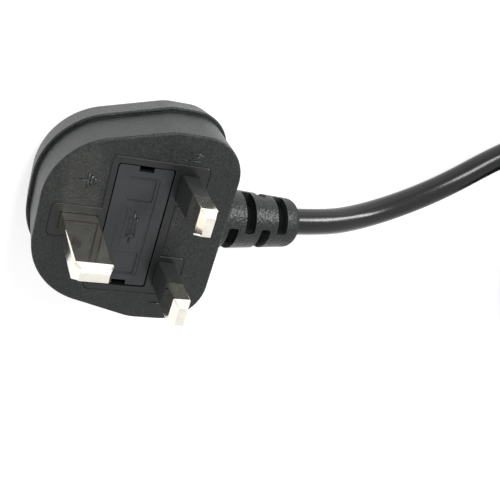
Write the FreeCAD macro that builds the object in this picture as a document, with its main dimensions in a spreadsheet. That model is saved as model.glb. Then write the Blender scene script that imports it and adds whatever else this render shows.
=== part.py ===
import FreeCAD, Part
import math
import os
import re
from types import SimpleNamespace

# Moulded three-pin fused mains plug with its lead.
# Frame: the plug lies on its back with the pins up. The origin is on the rest plane, under the
# midpoint of the line and neutral pins. +X runs to the cord exit, +Y to the neutral pin.

Vector = FreeCAD.Vector
doc = FreeCAD.newDocument("three_pin_plug")

# Driving dimensions in millimetres and degrees
SIZES = (
    # Pins, measured from the pin face
    ("pin_pitch", 22.23, "line to neutral, and their midpoint to earth"),
    ("live_pin_thick", 4.0, "line and neutral pins along X"),
    ("live_pin_wide", 6.35, "line and neutral pins along Y"),
    ("live_pin_reach", 17.7, "line and neutral pins above the face"),
    ("earth_pin_wide", 8.0, "earth pin along X"),
    ("earth_pin_thick", 4.0, "earth pin along Y"),
    ("earth_pin_reach", 22.73, "earth pin above the face"),
    ("tip_length", 2.3, "bevelled tip of each pin"),
    ("tip_angle", 24.0, "slope of the bevel from the pin axis"),
    ("pin_edge_radius", 0.35, "long edges of the pins"),
    ("sleeve_reach", 9.0, "sleeve above the face"),
    ("sleeve_drop", 6.0, "sleeve below the face"),
    ("sleeve_wall", 0.5, "sleeve thickness, let into the pin"),
    # Moulded body
    ("body_depth", 25.0, "back to pin face"),
    ("half_width", 23.8, "half of the body across the pins"),
    ("cord_end", 11.8, "cord end of the face from the origin"),
    ("face_margin", 2.7, "face beyond the earth pin pad"),
    ("shoulder_start", 5.5, "where the sides begin to slant, towards the earth end"),
    ("shoulder_angle", 14.8, "slant of the sides"),
    ("shoulder_radius", 12.0, "soft corner where the slant begins"),
    ("cord_corner", 10.0, "corner radius at the cord end"),
    ("earth_corner", 16.0, "corner radius at the earth end"),
    ("ledge_depth", 13.0, "face to the ledge round the waist"),
    ("ledge_wide", 1.0, "ledge between the front wall and the flange's edge"),
    ("flange_lip", 0.2, "flange beyond the face at both ends"),
    ("flange_side", 0.95, "flange beyond the face at the sides"),
    ("flange_start", 3.5, "where the flange's sides begin to slant"),
    ("flange_angle", 16.2, "slant of the flange's sides"),
    ("flange_earth_corner", 18.5, "corner radius of the flange at the earth end"),
    ("flange_cord_corner", 9.5, "corner radius of the flange at the cord end"),
    ("flange_draft", 8.5, "inward slope of the flange, ledge to back"),
    ("back_round", 6.5, "round between flange and back"),
    ("face_round", 0.5, "round of the face edge"),
    ("ledge_round", 0.4, "round of the ledge edge"),
    # Strain relief
    ("relief_depth", 10.05, "strain relief axis below the pin face, at the body's cord end"),
    ("relief_droop", 5.5, "fall of the strain relief towards the back"),
    ("relief_length", 22.5, "strain relief beyond the body's cord end"),
    ("relief_root_inset", 5.0, "strain relief inside the body"),
    ("relief_root_radius", 7.9, "strain relief radius at its inner end"),
    ("relief_tip_radius", 6.05, "strain relief radius at its outer end"),
    ("relief_round", 2.5, "round at the end of the strain relief"),
    ("slot_width", 2.7, "flex slots along the cord"),
    ("slot_floor_radius", 4.0, "bottom of the flex slots"),
    ("slot_sweep", 101.0, "angle covered by a flex slot"),
    ("slot_turn", 42.0, "middle of the first lower slot, from the back towards +Y"),
    ("slot_corner", 0.6, "corner radius of a flex slot"),
    ("slot_first", 2.95, "first slot of the lower row from the body's cord end"),
    ("slot_pitch", 9.1, "slots in one row"),
    ("slot_stagger", 4.55, "upper row past the lower row"),
    # Rigid insert
    ("bridge_rise", 0.15, "insert above the moulded face"),
    ("pad_side", 2.3, "insert beside the live pins, towards the cord"),
    ("strap_room", 0.24, "room between the live pins and the chamber wall"),
    ("tongue_end", 2.17, "insert beyond the earth pin"),
    ("tongue_side", 2.0, "insert beside the earth pin"),
    ("well_side_earth", 1.36, "insert beside the fuse well, earth side"),
    ("well_side_live", 1.93, "insert beside the fuse well, live side"),
    ("well_end", 1.6, "insert at the ends of the fuse well"),
    ("bridge_corner", 1.2, "outer corners of the insert"),
    ("bridge_bevel", 0.2, "bevel of the insert's top edge"),
    ("bridge_wall", 1.2, "walls of the wiring chamber"),
    ("bridge_floor", 1.0, "floor between fuse well and wiring chamber"),
    ("chamber_room", 0.7, "room below the crimps"),
    ("cap_thick", 1.2, "back cover of the insert"),
    ("cap_rim", 0.8, "locating rim of the back cover"),
    ("fit_gap", 0.05, "clearance between pieces that are fixed together"),
    ("cut_over", 1.0, "openings cut past the surface"),
    # Fuse carrier
    ("door_to_earth", 2.09, "door to the earth pin"),
    ("door_to_live", 1.83, "door to the live pins"),
    ("door_end", 2.15, "door beyond the ends of the fuse"),
    ("door_gap", 0.3, "running gap round the door"),
    ("door_thick", 1.8, "door plate"),
    ("door_corner", 0.6, "door corners"),
    ("notch_wide", 3.3, "prising notch along X"),
    ("notch_deep", 1.2, "prising notch along Y"),
    ("channel_inset", 2.5, "margin round the shallow channel in the door"),
    ("channel_depth", 0.25, "shallow channel in the door"),
    ("grip_wide", 5.9, "finger recess along X"),
    ("grip_long", 5.7, "finger recess along Y"),
    ("grip_offset", 9.2, "finger recess from the middle of the door"),
    ("grip_depth", 0.35, "finger recess below the channel"),
    ("recess_corner", 0.4, "corners of channel, recesses and panel"),
    ("panel_wide", 4.0, "middle panel along X"),
    ("panel_half", 5.4, "half length of the middle panel"),
    ("panel_rise", 0.12, "middle panel above the channel"),
    ("cradle_gap", 0.9, "cradle ends to the fuse caps"),
    ("cradle_wall", 1.2, "cradle beside the fuse"),
    ("cradle_wrap", 1.8, "cradle below the fuse axis"),
    # Cartridge fuse
    ("fuse_length", 25.4, "cartridge fuse"),
    ("fuse_cap_radius", 3.175, "fuse end caps"),
    ("fuse_cap_length", 5.8, "fuse end caps along the fuse"),
    ("fuse_cap_wall", 0.4, "thickness of the fuse end caps"),
    ("fuse_bore_radius", 1.8, "bore of the ceramic barrel"),
    ("fuse_wire_radius", 0.25, "fuse element"),
    ("fuse_drop", 0.2, "gap between door and fuse"),
    # Fuse clips
    ("clip_gap", 0.3, "clearance between clip and fuse cap"),
    ("clip_thick", 0.5, "clip metal"),
    ("clip_inset", 0.3, "clip from the inner end of a fuse cap"),
    ("clip_long", 5.0, "clip along the fuse"),
    ("clip_arm", 6.2, "clip arms above the clip base"),
    ("strap_wide", 2.4, "straps and webs of the clips"),
    ("stub_reach", 1.6, "riveted stub below the insert floor"),
    # Crimps and cores
    ("crimp_radius", 1.5, "crimp barrels"),
    ("crimp_bore", 1.25, "inside of the crimp barrels"),
    ("crimp_long", 3.0, "crimp barrels along the core"),
    ("crimp_room", 0.35, "room above the crimps"),
    ("crimp_rise", 0.5, "crimp axis above the core axis"),
    ("tongue_wide", 1.8, "tongue in a crimp"),
    ("tongue_thick", 0.6, "tongue in a crimp"),
    ("tongue_lift", 0.1, "tongue above the crimp axis"),
    ("core_radius", 1.1, "insulated cores"),
    ("strand_radius", 0.55, "copper in the cores"),
    ("core_gap", 0.1, "between the cores"),
    ("core_straight", 1.6, "cores straight out of the sheath"),
    ("core_fall_end", 2.5, "where the cores reach their level, from the origin"),
    ("core_bend", 3.0, "bend radius of the line and neutral cores"),
    ("earth_core_bend", 2.0, "bend radius of the earth core"),
    ("earth_core_end", 1.0, "straight end of the earth core"),
    ("core_room", 0.3, "room round the cores"),
    ("core_stop", 0.3, "insulation ends before the crimp"),
    ("neutral_drop", 5.5, "neutral crimp from the origin, towards earth"),
    # Lead
    ("cord_radius", 3.4, "lead"),
    ("cord_gap", 0.1, "clearance round the lead in the strain relief"),
    ("sheath_depth", 1.8, "end of the lead's sheath inside the body's cord end"),
    ("lead_straight", 34.0, "first corner of the lead's route, along the strain relief's axis"),
    ("coil_x", 171.5, "middle of the oval coil"),
    ("coil_y", 9.0, "middle of the oval coil"),
    ("coil_run", 56.0, "straight runs of the turns"),
    ("coil_fold", 20.6, "fold radius of the inner turns"),
    ("turn_gap", 0.1, "between turns side by side"),
    ("coil_bevel", 3.2, "slanted edges of the coil"),
    ("tie_wide", 4.0, "tie round the turns"),
    ("tie_thick", 0.8, "tie round the turns"),
    ("tie_slack", 0.3, "tie clear of the turns"),
    ("tail_half_step", 30.0, "half of the angle between the corners of the last fold's route, on the coil"),
    ("tail_rise", 1.5, "first rise of the lead towards the connector"),
    ("tail_corner", 14.0, "last corner of the lead's route, past the end of the last fold"),
    ("tail_straight", 12.0, "that corner to the connector's strain relief"),
    ("tail_stop", 4.0, "end of the lead's sheath from the connector body"),
    # Appliance connector at the far end
    ("connector_turn", 35.0, "heading of the connector, from +X towards -Y"),
    ("connector_wide", 27.5, "connector across"),
    ("connector_tall", 20.0, "connector height"),
    ("connector_long", 33.0, "connector body along the cord"),
    ("connector_bevel", 5.0, "two cut corners of the connector"),
    ("connector_corner", 1.5, "corner radius of the connector"),
    ("connector_relief", 20.0, "connector strain relief"),
    ("connector_relief_wall", 1.4, "end of the connector strain relief round the cord"),
    ("connector_wall", 2.6, "moulding round the connector insert"),
    ("insert_long", 17.0, "connector insert"),
    ("insert_floor", 2.0, "insert behind the contacts"),
    ("contact_wide", 4.6, "connector slots along the pin width"),
    ("contact_thick", 2.2, "connector slots across"),
    ("contact_pitch", 14.0, "line to neutral slot"),
    ("contact_rise", 4.0, "earth slot above the other two"),
    ("contact_wall", 0.35, "sheet of the contacts"),
    ("contact_inset", 1.0, "contacts behind the connector face"),
)

# Sizes and places that follow from the driving dimensions
TIED = (
    ("live_y", "pin_pitch / 2", "live pins from the middle"),
    ("door_left", "pin_pitch - earth_pin_wide / 2 - door_to_earth", "door edge towards the earth pin"),
    ("door_right", "live_pin_thick / 2 + door_to_live", "door edge towards the live pins"),
    ("door_half", "fuse_length / 2 + door_end", "half length of the door"),
    ("bridge_left", "door_left + door_gap + well_side_earth", "insert edge towards the earth pin"),
    ("bridge_right", "door_right - door_gap - well_side_live", "insert edge between the live pins"),
    ("bridge_half", "door_half + door_gap + well_end", "half length of the insert"),
    ("pad_right", "live_pin_thick / 2 + pad_side", "live pin pads towards the cord"),
    ("pad_inner", "live_y - live_pin_wide / 2 - bridge_wall - strap_room", "inner edge of the live pads"),
    ("tongue_left", "pin_pitch + earth_pin_wide / 2 + tongue_end", "end of the earth pin pad"),
    ("tongue_half", "earth_pin_thick / 2 + tongue_side", "half width of the earth pin pad"),
    ("earth_end", "tongue_left + face_margin", "earth end of the face from the origin"),
    ("ledge_level", "body_depth - ledge_depth", "ledge above the back"),
    ("relief_level", "body_depth - relief_depth", "strain relief axis above the back, at the cord end"),
    ("bridge_top", "body_depth + bridge_rise", "outer face of the insert"),
    ("door_bottom", "body_depth - door_thick", "inner face of the door"),
    ("fuse_x", "-(door_left + door_right) / 2", "fuse axis along X"),
    ("fuse_level", "door_bottom - fuse_drop - fuse_cap_radius", "fuse axis above the back"),
    ("well_floor", "fuse_level - fuse_cap_radius - clip_gap - clip_thick", "floor of the fuse well"),
    ("cradle_half", "fuse_length / 2 - fuse_cap_length - cradle_gap", "half length of the fuse cradle"),
    ("clip_inner", "fuse_length / 2 - fuse_cap_length + clip_inset", "clips from the middle of the fuse"),
    ("chamber_top", "well_floor - bridge_floor", "closed side of the wiring chamber"),
    ("crimp_level", "chamber_top - crimp_room - crimp_radius", "axis of the crimps"),
    ("tongue_level", "crimp_level + tongue_lift", "lower face of the tongues"),
    ("core_level", "crimp_level - crimp_rise", "axis of the cores"),
    ("chamber_open", "crimp_level - crimp_radius - chamber_room", "open side of the wiring chamber"),
    ("core_pitch", "2 * core_radius + core_gap", "cores side by side"),
    ("core_half", "core_pitch + core_radius + core_room", "half width of the way for the cores"),
    ("coil_inner", "coil_fold - cord_radius", "inside of the folds"),
    ("coil_outer", "coil_fold + 3 * cord_radius + turn_gap", "outside of the folds, two turns side by side"),
    ("coil_band", "coil_outer - coil_inner", "turns side by side"),
    ("coil_height", "6 * cord_radius", "three layers of turns"),
    ("tail_radius", "coil_outer - cord_radius", "last fold, on top of the coil"),
    ("tail_x", "coil_x - coil_run / 2", "middle of the last fold"),
    ("connector_reach", "tail_straight + connector_relief", "last corner to the connector's cone"),
    ("connector_level", "coil_height + fit_gap + connector_tall / 2", "connector axis above the floor"),
)

sheet = doc.addObject("Spreadsheet::Sheet", "dims")
for row, (alias, size, note) in enumerate(SIZES + TIED, start=1):
    sheet.set(f"A{row}", note)
    sheet.set(f"B{row}", str(size) if isinstance(size, float) else "=" + size)
    sheet.setAlias(f"B{row}", alias)
    doc.recompute()

ALIASES = {alias for alias, _, _ in SIZES + TIED}
mm = SimpleNamespace(**{alias: float(sheet.get(alias)) for alias in ALIASES})

ALONG_X = Vector(1, 0, 0)
ALONG_Y = Vector(0, 1, 0)
ALONG_Z = Vector(0, 0, 1)
droop = math.radians(mm.relief_droop)
RELIEF_AXIS = Vector(math.cos(droop), 0, -math.sin(droop))
NEAR = 1e-4
BEND_SHARE = 0.45  # of the shorter run beside a corner of a cord's route, taken by its arc
VOLUME_SHARE = 0.01  # by which a cord's volume may differ from its section times its length
pieces = []


def formula(text):
    """Turn a formula of size names into one that reads the sheet."""
    return re.sub(r"[a-z_]+", lambda word: "dims." * (word.group() in ALIASES) + word.group(), text)


def bind(item, settings):
    """Bind properties of an object to formulas of the driving dimensions."""
    for name, text in settings.items():
        item.setExpression(name, formula(text))


def keep(item, label):
    """Name a finished sub-part."""
    item.Label = label
    pieces.append(item)
    return item


# Outlines


def rounded(corners):
    """Closed outline of straight lines and tangent arcs through corners given as (x, y, radius)."""
    ends = []
    count = len(corners)
    for index, (x, y, radius) in enumerate(corners):
        corner = Vector(x, y, 0)
        before = Vector(*corners[index - 1][:2], 0) - corner
        after = Vector(*corners[(index + 1) % count][:2], 0) - corner
        before.normalize()
        after.normalize()
        half = before.getAngle(after) / 2
        inward = before + after
        if radius <= 0 or inward.Length < NEAR:
            ends.append((corner, None, corner))
            continue
        inward.normalize()
        reach = radius / math.tan(half)
        middle = corner + inward * (radius / math.sin(half) - radius)
        ends.append((corner + before * reach, middle, corner + after * reach))
    outline = []
    for index, (start, middle, finish) in enumerate(ends):
        if middle is not None:
            outline.append(Part.Arc(start, middle, finish))
        next_start = ends[(index + 1) % count][0]
        if (next_start - finish).Length > NEAR:
            outline.append(Part.LineSegment(finish, next_start))
    return outline


def rectangle(x, y, wide, long, radius=0.0):
    """Corners of a rectangle about (x, y)."""
    return [(x + i * wide / 2, y + j * long / 2, radius) for i, j in ((-1, -1), (1, -1), (1, 1), (-1, 1))]


def mirrored(half):
    """Corners of an outline that is the same on both sides of the X axis, from its +Y half."""
    return half + [(x, -y, radius) for x, y, radius in reversed(half)]


def body_outline(sides, margin, corners):
    """Outline of the moulded body from the half width, start and slant of its sides, a margin at both
    ends and the corner radii at the earth and cord ends."""
    half, start, angle = sides
    earth_corner, cord_corner = corners
    earth = -mm.earth_end - margin
    slant = math.tan(math.radians(angle))
    return mirrored([
        (earth, half + (earth + start) * slant, earth_corner),
        (-start, half, mm.shoulder_radius),
        (mm.cord_end + margin, half, cord_corner),
    ])


def flange_outline(inset):
    """Outline of the flange, drawn in by an inset."""
    sides = (mm.half_width + mm.flange_side - inset, mm.flange_start, mm.flange_angle)
    corners = (mm.flange_earth_corner - inset, mm.flange_cord_corner - inset)
    return body_outline(sides, mm.flange_lip - inset, corners)


def bridge_outline(inset, corner):
    """Outline of the rigid insert, drawn in by an inset."""
    return mirrored([
        (-mm.tongue_left + inset, mm.tongue_half - inset, corner),
        (-mm.bridge_left + inset, mm.tongue_half - inset, 0),
        (-mm.bridge_left + inset, mm.bridge_half - inset, corner),
        (mm.pad_right - inset, mm.bridge_half - inset, corner),
        (mm.pad_right - inset, mm.pad_inner + inset, corner),
        (-mm.bridge_right - inset, mm.pad_inner + inset, 0),
    ])


# Features


def new_body(label):
    return doc.addObject("PartDesign::Body", label)


def sketch(body, corners, level, plane="XY_Plane"):
    """Sketch of an outline on one of the body's own planes, raised to a level."""
    drawing = body.newObject("Sketcher::SketchObject", body.Name + "_outline")
    origin = [item for item in body.Origin.OriginFeatures if item.Role == plane]
    drawing.AttachmentSupport = [(origin[0], "")]
    drawing.MapMode = "FlatFace"
    bind(drawing, {"AttachmentOffset.Base.z": level})
    drawing.addGeometry(rounded(corners), False)
    return drawing


def pad(body, corners, level, length, draft=None, plane="XY_Plane", downward=False):
    """Raise an outline from a level, with draft if given."""
    feature = body.newObject("PartDesign::Pad", body.Name + "_pad")
    feature.Profile = sketch(body, corners, level, plane)
    feature.Reversed = downward
    bind(feature, {"Length": length})
    if draft:
        bind(feature, {"TaperAngle": draft})
    doc.recompute()
    return feature


def ruled(body, corners, level, end_corners, end_level):
    """Join two outlines at two levels with straight walls."""
    feature = body.newObject("PartDesign::AdditiveLoft", body.Name + "_walls")
    feature.Profile = sketch(body, corners, level)
    feature.Sections = [(sketch(body, end_corners, end_level), [""])]
    feature.Ruled = True
    doc.recompute()
    return feature


def pocket(body, corners, level, depth, upward=False, plane="XY_Plane"):
    """Sink an outline from a level, and make sure that it takes material away."""
    before = body.Shape.Volume
    feature = body.newObject("PartDesign::Pocket", body.Name + "_pocket")
    feature.Profile = sketch(body, corners, level, plane)
    feature.Reversed = upward
    bind(feature, {"Length": depth})
    doc.recompute()
    if not body.Shape.Volume < before:
        raise ValueError(f"a pocket in {body.Label} cuts nothing")
    return feature


def dress(body, kind, chosen, settings):
    """Fillet or chamfer the edges of the body's tip that a test picks."""
    base = body.Tip
    names = [f"Edge{i}" for i, edge in enumerate(base.Shape.Edges, start=1) if chosen(edge)]
    if not names:
        raise ValueError(f"no edges to dress on {body.Label}")
    feature = body.newObject("PartDesign::" + kind, body.Name + "_dressing")
    feature.Base = (base, names)
    bind(feature, settings)
    doc.recompute()
    return feature


def at_level(level):
    """Test for edges that lie flat at one height."""
    return lambda edge: abs(edge.BoundBox.ZMin - level) < NEAR and abs(edge.BoundBox.ZMax - level) < NEAR


def cylinder(name, radius, height, axis, base):
    """Cylinder along an axis, with its base point as formulas."""
    item = doc.addObject("Part::Cylinder", name)
    item.Placement = FreeCAD.Placement(Vector(), FreeCAD.Rotation(ALONG_Z, axis))
    bind(item, {"Radius": radius, "Height": height})
    bind(item, {"Placement.Base." + letter: text for letter, text in zip("xyz", base)})
    return item


def cone(name, root, tip, height, axis, base):
    """Cone along an axis, with its base point as formulas."""
    item = doc.addObject("Part::Cone", name)
    item.Placement = FreeCAD.Placement(Vector(), FreeCAD.Rotation(ALONG_Z, axis))
    bind(item, {"Radius1": root, "Radius2": tip, "Height": height})
    bind(item, {"Placement.Base." + letter: text for letter, text in zip("xyz", base)})
    return item


def block(name, low, span):
    """Box from its low corner and its spans, as formulas."""
    item = doc.addObject("Part::Box", name)
    bind(item, dict(zip(("Length", "Width", "Height"), span)))
    bind(item, {"Placement.Base." + letter: text for letter, text in zip("xyz", low)})
    return item


def fuse(name, items):
    joined = doc.addObject("Part::MultiFuse", name)
    joined.Shapes = items
    joined.Refine = True
    return joined


def cut(name, base, tool):
    result = doc.addObject("Part::Cut", name)
    result.Base = base
    result.Tool = tool
    return result


def fillet_edges(name, base, radius, chosen):
    doc.recompute()
    item = doc.addObject("Part::Fillet", name)
    item.Base = base
    item.Edges = [(i, radius, radius) for i, edge in enumerate(base.Shape.Edges, start=1) if chosen(edge)]
    return item


# Cords


def cord_wire(points, radius=None):
    """Path of straight runs and tangent arcs; without a radius each arc is as large as its runs allow."""
    points = [Vector(*point) for point in points]
    edges = []
    radii = []
    start = points[0]
    for before, corner, after in zip(points, points[1:], points[2:]):
        back = before - corner
        ahead = after - corner
        shorter = min(back.Length, ahead.Length)
        back.normalize()
        ahead.normalize()
        half_turn = (math.pi - back.getAngle(ahead)) / 2
        bend = radius or BEND_SHARE * shorter / math.tan(half_turn)
        reach = bend * math.tan(half_turn)
        inward = back + ahead
        inward.normalize()
        first = corner + back * reach
        last = corner + ahead * reach
        middle = corner + inward * (bend / math.cos(half_turn) - bend)
        edges += [Part.LineSegment(start, first).toShape(), Part.Arc(first, middle, last).toShape()]
        radii.append(round(bend, 1))
        start = last
    edges.append(Part.LineSegment(start, points[-1]).toShape())
    return Part.Wire(edges), radii


def round_cord(label, points, section_radius, bend=None):
    """Round cord along a route, its volume compared with its section times its length."""
    path, radii = cord_wire(points, bend)
    first = Vector(*points[0])
    heading = Vector(*points[1]) - first
    profile = Part.Wire(Part.makeCircle(section_radius, first, heading))
    solid = path.makePipeShell([profile], True, True)
    expected = math.pi * section_radius ** 2 * path.Length
    if abs(solid.Volume - expected) > VOLUME_SHARE * expected:
        raise ValueError(f"{label} does not have the volume of its route")
    print(label, "length", round(path.Length, 1), "bend radii", radii)
    item = doc.addObject("Part::Feature", label)
    item.Shape = solid
    return item


# Moulded body: drafted front, ledge and flange, slotted strain relief


def make_housing():
    housing = new_body("housing")
    pad(housing, flange_outline(0.0), "ledge_level", "ledge_level", "-flange_draft", downward=True)
    dress(housing, "Fillet", at_level(0.0), {"Radius": "back_round"})
    dress(housing, "Fillet", at_level(mm.ledge_level), {"Radius": "ledge_round"})
    sides = (mm.half_width, mm.shoulder_start, mm.shoulder_angle)
    face = body_outline(sides, 0.0, (mm.earth_corner, mm.cord_corner))
    ruled(housing, face, "body_depth", flange_outline(mm.ledge_wide), "ledge_level")
    dress(housing, "Fillet", at_level(mm.body_depth), {"Radius": "face_round"})
    return housing


def on_relief(reach):
    """Point on the strain relief's axis, as formulas, at a reach beyond the body's cord end."""
    return (
        f"cord_end + ({reach}) * cos(relief_droop)",
        "0",
        f"relief_level - ({reach}) * sin(relief_droop)",
    )


def relief_point(reach, side=0.0):
    """Point at a reach along the strain relief's axis and to one side of it."""
    return Vector(mm.cord_end, side, mm.relief_level) + RELIEF_AXIS * reach


def slot_tool(index, along, middle_angle):
    """Ring sector with rounded corners, which cuts one flex slot."""
    def straight_across(edge):
        return edge.Curve.TypeId == "Part::GeomLine" and abs(edge.Curve.Direction.dot(RELIEF_AXIS)) < NEAR

    sector = doc.addObject("Part::Cylinder", f"slot_{index}")
    bind(sector, {"Radius": "relief_root_radius + cut_over", "Height": "slot_width", "Angle": "slot_sweep"})
    lay_down = FreeCAD.Rotation(ALONG_Y, 90)
    turn = FreeCAD.Rotation(ALONG_X, middle_angle - mm.slot_sweep / 2)
    tilt = FreeCAD.Rotation(ALONG_Y, mm.relief_droop)
    sector.Placement = FreeCAD.Placement(Vector(), tilt.multiply(turn).multiply(lay_down))
    place = on_relief(f"{along} - slot_width / 2")
    bind(sector, {"Placement.Base." + letter: text for letter, text in zip("xyz", place)})
    return fillet_edges(f"slot_rounded_{index}", sector, mm.slot_corner, straight_across)


def make_slots():
    """Lower and upper rows of flex slots, each slot paired with one on the opposite side."""
    rows = (("slot_first", mm.slot_turn), ("slot_first + slot_stagger", mm.slot_turn + 90))
    slots = []
    for row, (start, angle) in enumerate(rows):
        for column in range(2):
            for side in range(2):
                along = f"{start} + {column} * slot_pitch"
                slots.append(slot_tool(f"{row}{column}{side}", along, angle + 180 * side))
    core = cylinder("slot_core", "slot_floor_radius", "relief_length", RELIEF_AXIS, on_relief("0"))
    return cut("ring_slots", fuse("slot_sectors", slots), core)


def make_relief():
    def at_tip(edge):
        return edge.isClosed() and abs(edge.Curve.Radius - mm.relief_tip_radius) < NEAR

    length = "relief_length + relief_root_inset"
    taper = cone("relief_cone", "relief_root_radius", "relief_tip_radius", length, RELIEF_AXIS,
                 on_relief("-relief_root_inset"))
    rounded_tip = fillet_edges("relief_rounded", taper, mm.relief_round, at_tip)
    return cut("relief_slotted", rounded_tip, make_slots())


def make_moulded_body():
    solid = fuse("overmould", [make_housing(), make_relief()])
    bore_length = "relief_length + sheath_depth + cut_over"
    bore = cylinder("cord_bore", "cord_radius + cord_gap", bore_length, RELIEF_AXIS,
                    on_relief("-sheath_depth"))
    core_start = on_relief("-sheath_depth - core_straight")
    throat_low = "(core_level - core_radius - core_room)"
    throat_high = f"({core_start[2]} + core_radius + core_room)"
    throat = block("throat", ("-bridge_right - cut_over", "-core_half", throat_low),
                   ("bridge_right + cord_end", "2 * core_half", f"{throat_high} - {throat_low}"))
    seat = new_body("insert_seat")
    pad(seat, bridge_outline(-mm.fit_gap, mm.bridge_corner), "chamber_open - cap_thick - fit_gap",
        "body_depth - chamber_open + cap_thick + fit_gap + cut_over")
    room = fuse("room_inside", [seat, bore, throat])
    return keep(cut("moulded", solid, room), "moulded_body")


# Rigid insert and its back cover


def make_bridge():
    bridge = new_body("bridge")
    pad(bridge, bridge_outline(0.0, mm.bridge_corner), "chamber_open", "bridge_top - chamber_open")
    dress(bridge, "Chamfer", at_level(mm.bridge_top), {"Size": "bridge_bevel"})
    pocket(bridge, bridge_outline(mm.bridge_wall, mm.bridge_corner / 2), "chamber_open",
           "chamber_top - chamber_open", upward=True)
    well_wide = mm.door_left - mm.door_right + 2 * mm.door_gap
    well_long = 2 * (mm.door_half + mm.door_gap)
    pocket(bridge, rectangle(mm.fuse_x, 0, well_wide, well_long, mm.door_corner), "bridge_top",
           "bridge_top - well_floor")
    gap = 2 * mm.fit_gap
    through = "bridge_top - chamber_top + cut_over"
    slots = [rectangle(-mm.pin_pitch, 0, mm.earth_pin_wide + gap, mm.earth_pin_thick + gap)]
    for side in (-1, 1):
        slots.append(rectangle(0, side * mm.live_y, mm.live_pin_thick + gap, mm.live_pin_wide + gap))
        web_y = side * (mm.clip_inner + mm.clip_long / 2)
        slots.append(rectangle(mm.fuse_x, web_y, mm.strap_wide + gap, mm.clip_thick + gap))
    for corners in slots:
        pocket(bridge, corners, "bridge_top", through)
    pocket(bridge, rectangle(-mm.bridge_right, 0, 3 * mm.bridge_wall, 2 * mm.core_half), "chamber_open",
           "core_level + core_radius + core_room - chamber_open", upward=True)
    return keep(bridge, "pin_bridge")


def make_cap():
    cap = new_body("cap")
    pad(cap, bridge_outline(0.0, mm.bridge_corner), "chamber_open - cap_thick", "cap_thick")
    rim = mm.bridge_wall + mm.fit_gap
    pad(cap, bridge_outline(rim, mm.bridge_corner / 2), "chamber_open", "cap_rim")
    pocket(cap, bridge_outline(rim + mm.bridge_wall / 2, 0), "chamber_open + cap_rim", "cap_rim")
    pocket(cap, rectangle(-mm.bridge_right - mm.bridge_wall, 0, 3 * mm.bridge_wall, 2 * mm.core_half),
           "chamber_open + cap_rim", "cap_rim")
    return keep(cap, "bridge_cap")


# Pins


def make_live_pin(label, y):
    """Pin with a bevelled tip and a neck that the sleeve fills."""
    pin = new_body(label + "_solid")
    full = rectangle(0, y, mm.live_pin_thick, mm.live_pin_wide, mm.pin_edge_radius)
    neck_thick = mm.live_pin_thick - 2 * mm.sleeve_wall
    neck = rectangle(0, y, neck_thick, mm.live_pin_wide - 2 * mm.sleeve_wall, mm.pin_edge_radius)
    pad(pin, full, "chamber_top", "body_depth - sleeve_drop - chamber_top")
    pad(pin, neck, "body_depth - sleeve_drop", "sleeve_drop + sleeve_reach")
    pad(pin, full, "body_depth + sleeve_reach", "live_pin_reach - tip_length - sleeve_reach")
    pad(pin, full, "body_depth + live_pin_reach - tip_length", "tip_length", "-tip_angle")
    return pin


def make_pins():
    to_tongue = "chamber_top - tongue_level"
    line = make_live_pin("line_pin", -mm.live_y)
    stub = rectangle(0, -mm.live_y, mm.strap_wide - 2 * mm.clip_thick, mm.live_pin_wide / 2)
    pad(line, stub, "chamber_top - stub_reach", "stub_reach")
    keep(line, "line_pin")

    neutral = make_live_pin("neutral_pin", mm.live_y)
    stub = rectangle(0, mm.live_y, mm.live_pin_thick / 2, mm.live_pin_wide / 2)
    pad(neutral, stub, "tongue_level", to_tongue)
    left = -mm.neutral_drop - mm.tongue_wide / 2
    right = -mm.neutral_drop + mm.tongue_wide / 2
    near = mm.live_y - mm.tongue_wide / 2
    far = mm.live_y + mm.tongue_wide / 2
    in_crimp = mm.pad_inner + mm.core_stop
    elbow = [(left, in_crimp), (right, in_crimp), (right, near), (0, near), (0, far), (left, far)]
    pad(neutral, [(x, y, 0) for x, y in elbow], "tongue_level", "tongue_thick")
    keep(neutral, "neutral_pin")

    earth = new_body("earth_pin_solid")
    full = rectangle(-mm.pin_pitch, 0, mm.earth_pin_wide, mm.earth_pin_thick, mm.pin_edge_radius)
    pad(earth, full, "chamber_top", "body_depth + earth_pin_reach - tip_length - chamber_top")
    pad(earth, full, "body_depth + earth_pin_reach - tip_length", "tip_length", "-tip_angle")
    stub = rectangle(-mm.pin_pitch, 0, mm.earth_pin_wide / 2, mm.earth_pin_thick)
    pad(earth, stub, "tongue_level", to_tongue)
    reach = mm.earth_pin_wide / 2 + mm.crimp_long
    pad(earth, rectangle(reach / 2 - mm.pin_pitch, 0, reach, mm.tongue_wide), "tongue_level", "tongue_thick")
    keep(earth, "earth_pin")


def make_sleeve(label, y):
    sleeve = new_body(label + "_solid")
    outer = rectangle(0, y, mm.live_pin_thick, mm.live_pin_wide, mm.pin_edge_radius)
    inner_wide = mm.live_pin_thick - 2 * mm.sleeve_wall
    inner = rectangle(0, y, inner_wide, mm.live_pin_wide - 2 * mm.sleeve_wall, mm.pin_edge_radius)
    pad(sleeve, outer, "body_depth - sleeve_drop", "sleeve_drop + sleeve_reach")
    pocket(sleeve, inner, "body_depth + sleeve_reach", "sleeve_drop + sleeve_reach")
    return keep(sleeve, label)


# Fuse carrier and cartridge fuse


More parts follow.
